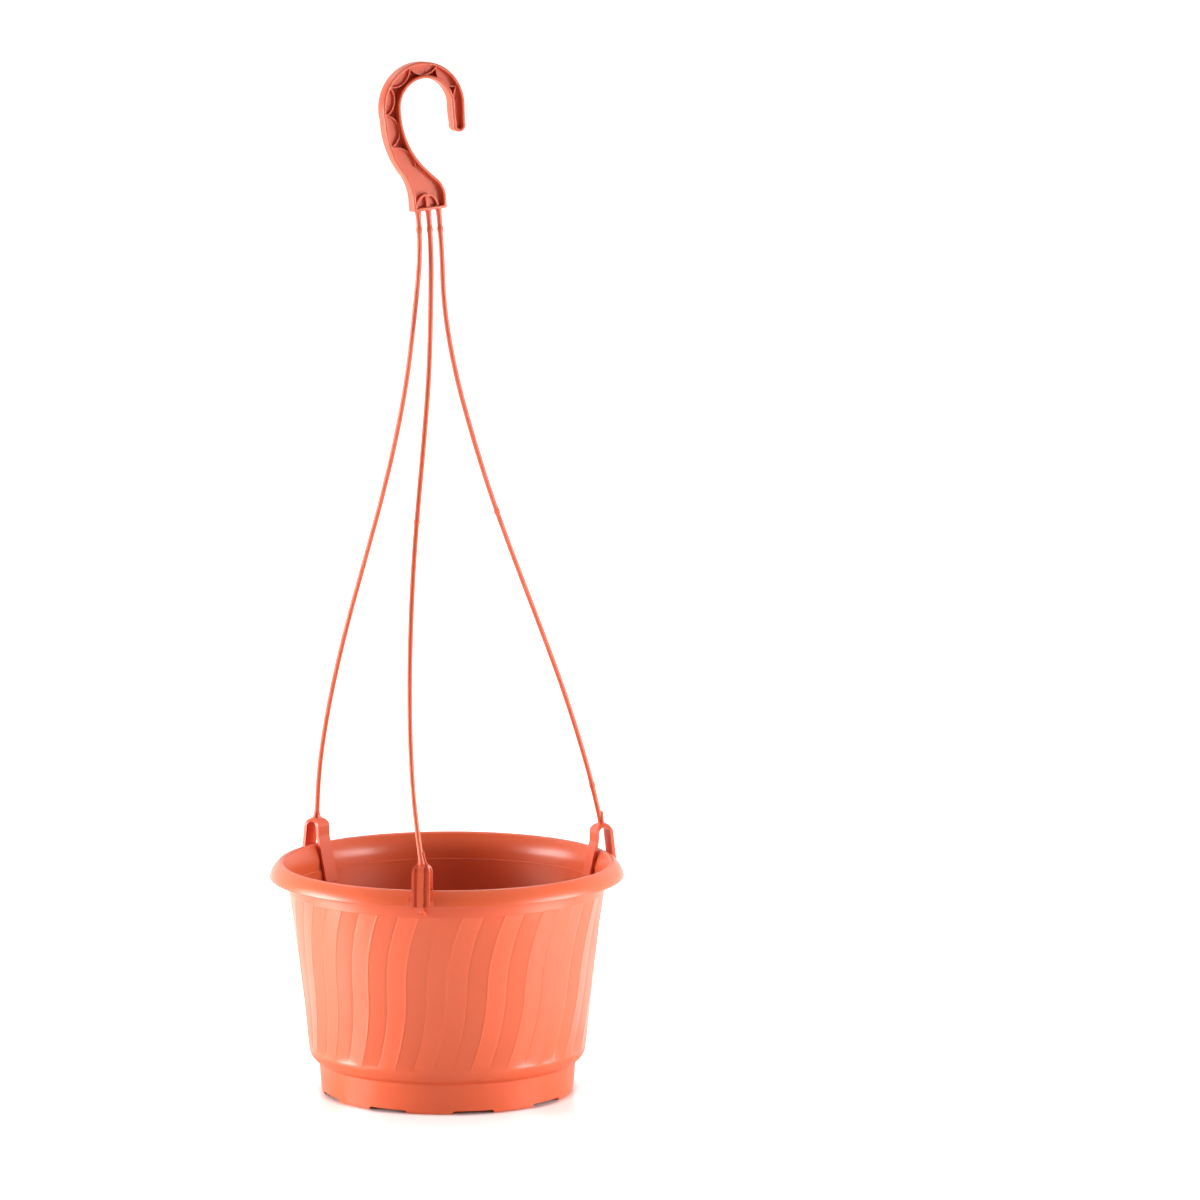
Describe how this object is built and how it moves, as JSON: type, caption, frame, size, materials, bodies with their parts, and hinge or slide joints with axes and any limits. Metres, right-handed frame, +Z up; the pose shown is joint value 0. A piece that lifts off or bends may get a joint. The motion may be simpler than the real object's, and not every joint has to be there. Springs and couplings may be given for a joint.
{
  "type": "hanging basket",
  "caption": "Round fluted plant pot with a rolled rim and lift-out water reservoir, hung by moulded strands that clip over the rim and meet at a channel-section hook.",
  "frame": {"origin": "middle of the pot's foot, on the surface that it stands on, on the pot's axis", "axes": "+Z up along the pot's axis, -Y towards the front clip, +X to the right of it"},
  "size_m": [0.25, 0.2539, 0.7258],
  "materials": {
    "pot_plastic": "satin-gloss terracotta polypropylene",
    "hanger_plastic": "satin terracotta polypropylene",
    "black_plastic": "satin black polypropylene"
  },
  "bodies": {
    "pot": {"pot": "pot_plastic", "clip_front": "hanger_plastic", "clip_left": "hanger_plastic", "clip_right": "hanger_plastic", "strand_front": "hanger_plastic", "strand_left": "hanger_plastic", "strand_right": "hanger_plastic"},
    "reservoir": {"reservoir_insert": "black_plastic"},
    "hook": {"hook": "hanger_plastic"},
    "latch_front": {"latch_front": "hanger_plastic"},
    "latch_left": {"latch_left": "hanger_plastic"},
    "latch_right": {"latch_right": "hanger_plastic"}
  },
  "joints": [
    {"name": "hook_rise", "type": "slide", "parent": "pot", "child": "hook", "axis": [0, 0, 1], "range_m": [-0.03, 0.003], "stiffness_N_per_m": 200, "deforming": ["strand_front", "strand_left", "strand_right"]},
    {"name": "reservoir_lift", "type": "slide", "parent": "pot", "child": "reservoir", "axis": [0, 0, 1], "range_m": [0, 0.165]},
    {"name": "latch_front_spring", "type": "hinge", "parent": "pot", "child": "latch_front", "pos_m": [0, -0.1238, 0.1754], "axis": [-1, 0, 0], "range_deg": [0, 22], "stiffness_Nm_per_rad": 0.4},
    {"name": "latch_right_spring", "type": "hinge", "parent": "pot", "child": "latch_right", "pos_m": [0.10721, 0.0619, 0.1754], "axis": [0.5, -0.866, 0], "range_deg": [0, 22], "stiffness_Nm_per_rad": 0.4},
    {"name": "latch_left_spring", "type": "hinge", "parent": "pot", "child": "latch_left", "pos_m": [-0.10721, 0.0619, 0.1754], "axis": [0.5, 0.866, 0], "range_deg": [0, 22], "stiffness_Nm_per_rad": 0.4}
  ]
}
